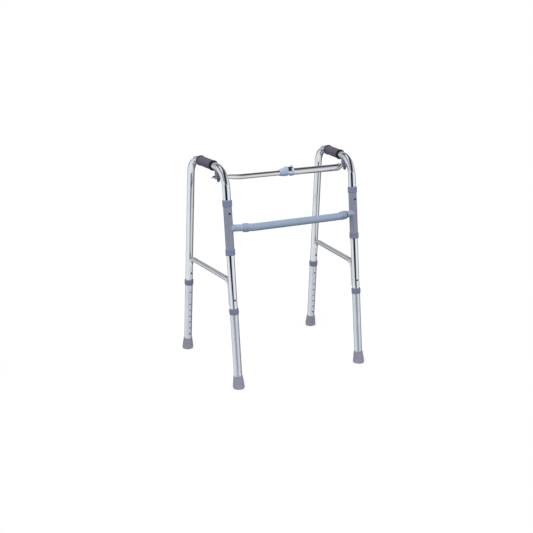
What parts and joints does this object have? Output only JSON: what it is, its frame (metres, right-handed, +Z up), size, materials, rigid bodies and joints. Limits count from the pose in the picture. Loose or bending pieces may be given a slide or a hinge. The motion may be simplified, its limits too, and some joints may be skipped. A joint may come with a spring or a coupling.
{
  "type": "walking frame",
  "caption": "Folding tubular walking frame with moulded hand grips, telescopic legs on rubber feet, hinged side frames, a lower cross bar and a sliding upper bar with a lock.",
  "frame": {"origin": "on the floor, midway between the feet", "axes": "+Z up; +Y towards the open rear, where the user stands; +X to the right side frame in the picture"},
  "size_m": [0.6108, 0.4606, 0.7969],
  "materials": {
    "polished_aluminium": "polished",
    "satin_aluminium": "satin",
    "chrome": "polished",
    "blue_grey_enamel": "gloss",
    "sleeve_enamel": "satin",
    "blue_grey_plastic": "matt",
    "pale_blue_plastic": "satin",
    "grey_rubber": "matt",
    "grip_rubber": "matt",
    "dark_steel": "dark",
    "zinc_steel": "zinc plated"
  },
  "bodies": {
    "cross_bar": {"cross_bar": "blue_grey_enamel", "left_sleeve": "sleeve_enamel", "left_upper_cap": "blue_grey_plastic", "left_lower_cap": "blue_grey_plastic", "left_bar_ring": "blue_grey_plastic", "left_sleeve_screw": "dark_steel", "right_sleeve": "sleeve_enamel", "right_upper_cap": "blue_grey_plastic", "right_lower_cap": "blue_grey_plastic", "right_bar_ring": "blue_grey_plastic", "right_sleeve_screw": "dark_steel"},
    "left_side": {"left_frame_tube": "polished_aluminium", "left_brace": "chrome", "left_grip": "grip_rubber", "left_pivot_block": "blue_grey_plastic", "left_pivot_stud": "zinc_steel", "left_pivot_nut": "zinc_steel", "left_front_button_spring": "zinc_steel", "left_rear_button_spring": "zinc_steel"},
    "right_side": {"right_frame_tube": "polished_aluminium", "right_brace": "chrome", "right_grip": "grip_rubber", "right_pivot_block": "blue_grey_plastic", "right_pivot_stud": "zinc_steel", "right_pivot_nut": "zinc_steel", "right_front_button_spring": "zinc_steel", "right_rear_button_spring": "zinc_steel"},
    "inner_bar": {"upper_bar_inner": "chrome", "left_lug_stop": "grip_rubber"},
    "outer_bar": {"upper_bar_outer": "chrome", "right_lug_stop": "grip_rubber", "lock_catch": "pale_blue_plastic", "lock_spring": "dark_steel"},
    "lock_sleeve": {"lock_sleeve": "pale_blue_plastic"},
    "left_front_leg": {"left_front_leg_tube": "satin_aluminium", "left_front_collar": "blue_grey_plastic", "left_front_foot": "grey_rubber"},
    "left_front_button": {"left_front_button": "dark_steel"},
    "left_rear_leg": {"left_rear_leg_tube": "satin_aluminium", "left_rear_collar": "blue_grey_plastic", "left_rear_foot": "grey_rubber"},
    "left_rear_button": {"left_rear_button": "dark_steel"},
    "right_front_leg": {"right_front_leg_tube": "satin_aluminium", "right_front_collar": "blue_grey_plastic", "right_front_foot": "grey_rubber"},
    "right_front_button": {"right_front_button": "dark_steel"},
    "right_rear_leg": {"right_rear_leg_tube": "satin_aluminium", "right_rear_collar": "blue_grey_plastic", "right_rear_foot": "grey_rubber"},
    "right_rear_button": {"right_rear_button": "dark_steel"}
  },
  "joints": [
    {"name": "left_fold", "type": "hinge", "parent": "cross_bar", "child": "left_side", "pos_m": [-0.2576, -0.12575, 0.57593], "axis": [0, -0.1431, -0.9897], "range_deg": [0, 78]},
    {"name": "right_fold", "type": "hinge", "parent": "cross_bar", "child": "right_side", "pos_m": [0.2576, -0.12575, 0.57593], "axis": [0, 0.1431, 0.9897], "range_deg": [0, 58.5]},
    {"name": "inner_bar_swing", "type": "hinge", "parent": "left_side", "child": "inner_bar", "pos_m": [-0.26108, -0.04734, 0.74157], "axis": [0, 0.1431, 0.9897], "range_deg": [0, 80.26]},
    {"name": "outer_bar_swing", "type": "hinge", "parent": "right_side", "child": "outer_bar", "pos_m": [0.26108, -0.04734, 0.74157], "axis": [0, -0.1431, -0.9897], "range_deg": [0, 56.24]},
    {"name": "lock_release", "type": "slide", "parent": "outer_bar", "child": "lock_sleeve", "axis": [1, 0, 0], "range_m": [0, 0.0038], "stiffness_N_per_m": 700, "springref_m": -0.003, "deforming": ["lock_spring"]},
    {"name": "left_front_height", "type": "slide", "parent": "left_side", "child": "left_front_leg", "axis": [0, -0.1431, -0.9897], "range_m": [0, 0.1524]},
    {"name": "left_front_button_press", "type": "slide", "parent": "left_side", "child": "left_front_button", "axis": [0.0644, -0.9876, 0.1428], "range_m": [0, 0.0042], "stiffness_N_per_m": 500, "springref_m": -0.004, "deforming": ["left_front_button_spring"]},
    {"name": "left_rear_height", "type": "slide", "parent": "left_side", "child": "left_rear_leg", "axis": [-0.0128, 0.0559, -0.9984], "range_m": [0, 0.1524]},
    {"name": "left_rear_button_press", "type": "slide", "parent": "left_side", "child": "left_rear_button", "axis": [-0.0631, 0.9964, 0.0566], "range_m": [0, 0.0042], "stiffness_N_per_m": 500, "springref_m": -0.004, "deforming": ["left_rear_button_spring"]},
    {"name": "right_front_height", "type": "slide", "parent": "right_side", "child": "right_front_leg", "axis": [0, -0.1431, -0.9897], "range_m": [0, 0.1524]},
    {"name": "right_front_button_press", "type": "slide", "parent": "right_side", "child": "right_front_button", "axis": [-0.0644, -0.9876, 0.1428], "range_m": [0, 0.0042], "stiffness_N_per_m": 500, "springref_m": -0.004, "deforming": ["right_front_button_spring"]},
    {"name": "right_rear_height", "type": "slide", "parent": "right_side", "child": "right_rear_leg", "axis": [0.0128, 0.0559, -0.9984], "range_m": [0, 0.1524]},
    {"name": "right_rear_button_press", "type": "slide", "parent": "right_side", "child": "right_rear_button", "axis": [0.0631, 0.9964, 0.0566], "range_m": [0, 0.0042], "stiffness_N_per_m": 500, "springref_m": -0.004, "deforming": ["right_rear_button_spring"]}
  ],
  "couplings": [
    {"joint": "right_fold", "follows": "left_fold", "ratio": 0.75},
    {"joint": "inner_bar_swing", "follows": "left_fold", "ratio": 1.0289},
    {"joint": "outer_bar_swing", "follows": "left_fold", "ratio": 0.72107}
  ]
}
